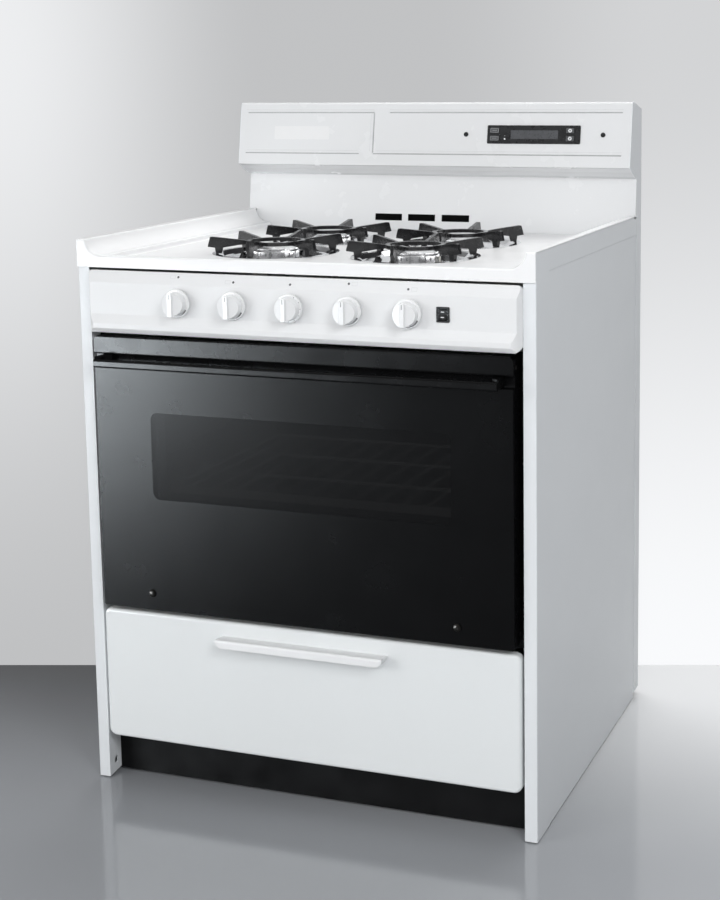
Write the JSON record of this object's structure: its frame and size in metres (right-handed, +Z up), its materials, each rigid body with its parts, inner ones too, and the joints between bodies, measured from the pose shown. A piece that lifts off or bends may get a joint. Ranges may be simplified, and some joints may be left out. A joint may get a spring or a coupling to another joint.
{
  "type": "freestanding gas range",
  "caption": "Freestanding gas cooking range with lift-up burner top, glass oven door, storage drawer and leaning rear control console.",
  "frame": {"origin": "centre of the footprint (cabinet depth plus door handle) at floor level", "axes": "+Z up, the user stands at -Y, +X is to the right of someone facing the range"},
  "size_m": [0.762, 0.682, 1.1015],
  "materials": {
    "white_enamel": "gloss porcelain enamel",
    "white_plastic": "satin moulded",
    "black_enamel": "gloss black enamel",
    "oven_enamel": "speckled oven enamel",
    "door_glass": "black-backed tempered glass",
    "clear_glass": "clear",
    "gasket": "woven glass cord",
    "zinc_steel": "zinc plated",
    "insulation": "glass wool",
    "chrome": "bright plated",
    "brass": "machined",
    "aluminium": "cast",
    "stem_steel": "machined",
    "ceramic": "glazed",
    "black_plastic": "satin moulded",
    "button_plastic": "matte moulded",
    "grate_enamel": "black porcelain enamel"
  },
  "bodies": {
    "cabinet": {"side_panel_left": "white_enamel", "side_panel_right": "white_enamel", "back_panel": "white_enamel", "control_panel": "white_enamel", "backguard_riser": "white_enamel", "backguard_console": "white_enamel", "backguard_end_caps": "white_enamel", "front_frame": "black_enamel", "toe_kick": "black_enamel", "oven_wrapper": "oven_enamel", "oven_back_liner": "oven_enamel", "oven_floor": "oven_enamel", "oven_insulation": "insulation", "oven_burner": "zinc_steel", "base_frame": "zinc_steel", "levelling_legs": "zinc_steel", "drawer_rails": "zinc_steel", "hinge_brackets": "zinc_steel", "gas_manifold": "zinc_steel", "burner_valves": "brass", "oven_thermostat": "aluminium", "venturi_tubes": "aluminium", "burner_heads": "aluminium", "gas_regulator": "aluminium", "spark_electrodes": "ceramic", "clock_module": "black_plastic", "switch_housing": "black_plastic", "cord_gland": "black_plastic"},
    "cooktop_lid": {"cooktop": "white_enamel", "drip_bowls": "chrome"},
    "front_left_grate": {"grate_front_left": "grate_enamel"},
    "front_right_grate": {"grate_front_right": "grate_enamel"},
    "rear_left_grate": {"grate_rear_left": "grate_enamel"},
    "rear_right_grate": {"grate_rear_right": "grate_enamel"},
    "rack": {"oven_rack": "chrome"},
    "oven_door": {"door_frame": "black_enamel", "door_glass": "door_glass", "door_handle": "black_enamel", "door_liner": "oven_enamel", "door_window": "clear_glass", "door_gasket": "gasket", "door_hinge_arms": "zinc_steel", "door_screws": "zinc_steel"},
    "drawer": {"drawer_front": "white_enamel", "drawer_box": "zinc_steel", "drawer_pull": "white_plastic"},
    "left_outer_stem": {"stem_left_outer": "stem_steel"},
    "left_inner_stem": {"stem_left_inner": "stem_steel"},
    "right_inner_stem": {"stem_right_inner": "stem_steel"},
    "right_outer_stem": {"stem_right_outer": "stem_steel"},
    "left_outer_knob": {"knob_left_outer": "white_plastic"},
    "left_inner_knob": {"knob_left_inner": "white_plastic"},
    "oven_dial": {"knob_oven": "white_plastic"},
    "right_inner_knob": {"knob_right_inner": "white_plastic"},
    "right_outer_knob": {"knob_right_outer": "white_plastic"},
    "light_rocker": {"rocker": "black_plastic"},
    "button_1": {"clock_button_1": "button_plastic"},
    "button_2": {"clock_button_2": "button_plastic"},
    "button_3": {"clock_button_3": "button_plastic"},
    "button_4": {"clock_button_4": "button_plastic"}
  },
  "joints": [
    {"name": "oven_door_hinge", "type": "hinge", "parent": "cabinet", "child": "oven_door", "pos_m": [0, -0.295, 0.322], "axis": [1, 0, 0], "range_deg": [0, 90]},
    {"name": "drawer_slide", "type": "slide", "parent": "cabinet", "child": "drawer", "axis": [0, -1, 0], "range_m": [0, 0.33]},
    {"name": "cooktop_hinge", "type": "hinge", "parent": "cabinet", "child": "cooktop_lid", "pos_m": [0, 0.289, 0.893], "axis": [-1, 0, 0], "range_deg": [0, 32]},
    {"name": "rack_slide", "type": "slide", "parent": "cabinet", "child": "rack", "axis": [0, -1, 0], "range_m": [0, 0.02]},
    {"name": "front_left_grate_lift", "type": "slide", "parent": "cooktop_lid", "child": "front_left_grate", "axis": [0, 0, 1], "range_m": [0, 0.06]},
    {"name": "front_right_grate_lift", "type": "slide", "parent": "cooktop_lid", "child": "front_right_grate", "axis": [0, 0, 1], "range_m": [0, 0.06]},
    {"name": "rear_left_grate_lift", "type": "slide", "parent": "cooktop_lid", "child": "rear_left_grate", "axis": [0, 0, 1], "range_m": [0, 0.06]},
    {"name": "rear_right_grate_lift", "type": "slide", "parent": "cooktop_lid", "child": "rear_right_grate", "axis": [0, 0, 1], "range_m": [0, 0.06]},
    {"name": "left_outer_stem_push", "type": "slide", "parent": "cabinet", "child": "left_outer_stem", "axis": [0, 1, 0], "range_m": [0, 0.004], "stiffness_N_per_m": 600, "springref_m": -0.002},
    {"name": "left_outer_knob_turn", "type": "hinge", "parent": "left_outer_stem", "child": "left_outer_knob", "pos_m": [-0.196, -0.324, 0.805], "axis": [0, -1, 0], "range_deg": [0, 220]},
    {"name": "left_inner_stem_push", "type": "slide", "parent": "cabinet", "child": "left_inner_stem", "axis": [0, 1, 0], "range_m": [0, 0.004], "stiffness_N_per_m": 600, "springref_m": -0.002},
    {"name": "left_inner_knob_turn", "type": "hinge", "parent": "left_inner_stem", "child": "left_inner_knob", "pos_m": [-0.1, -0.324, 0.805], "axis": [0, -1, 0], "range_deg": [0, 220]},
    {"name": "oven_dial_turn", "type": "hinge", "parent": "cabinet", "child": "oven_dial", "pos_m": [-0.004, -0.324, 0.805], "axis": [0, -1, 0], "range_deg": [0, 280]},
    {"name": "right_inner_stem_push", "type": "slide", "parent": "cabinet", "child": "right_inner_stem", "axis": [0, 1, 0], "range_m": [0, 0.004], "stiffness_N_per_m": 600, "springref_m": -0.002},
    {"name": "right_inner_knob_turn", "type": "hinge", "parent": "right_inner_stem", "child": "right_inner_knob", "pos_m": [0.092, -0.324, 0.805], "axis": [0, -1, 0], "range_deg": [0, 220]},
    {"name": "right_outer_stem_push", "type": "slide", "parent": "cabinet", "child": "right_outer_stem", "axis": [0, 1, 0], "range_m": [0, 0.004], "stiffness_N_per_m": 600, "springref_m": -0.002},
    {"name": "right_outer_knob_turn", "type": "hinge", "parent": "right_outer_stem", "child": "right_outer_knob", "pos_m": [0.188, -0.324, 0.805], "axis": [0, -1, 0], "range_deg": [0, 220]},
    {"name": "light_rocker_tip", "type": "hinge", "parent": "cabinet", "child": "light_rocker", "pos_m": [0.242, -0.311, 0.805], "axis": [1, 0, 0], "range_deg": [0, 16]},
    {"name": "button_1_press", "type": "slide", "parent": "cabinet", "child": "button_1", "axis": [0, 0.9848, -0.1735], "range_m": [0, 0.0012], "stiffness_N_per_m": 400, "springref_m": -0.001},
    {"name": "button_2_press", "type": "slide", "parent": "cabinet", "child": "button_2", "axis": [0, 0.9848, -0.1735], "range_m": [0, 0.0012], "stiffness_N_per_m": 400, "springref_m": -0.001},
    {"name": "button_3_press", "type": "slide", "parent": "cabinet", "child": "button_3", "axis": [0, 0.9848, -0.1735], "range_m": [0, 0.0012], "stiffness_N_per_m": 400, "springref_m": -0.001},
    {"name": "button_4_press", "type": "slide", "parent": "cabinet", "child": "button_4", "axis": [0, 0.9848, -0.1735], "range_m": [0, 0.0012], "stiffness_N_per_m": 400, "springref_m": -0.001}
  ]
}
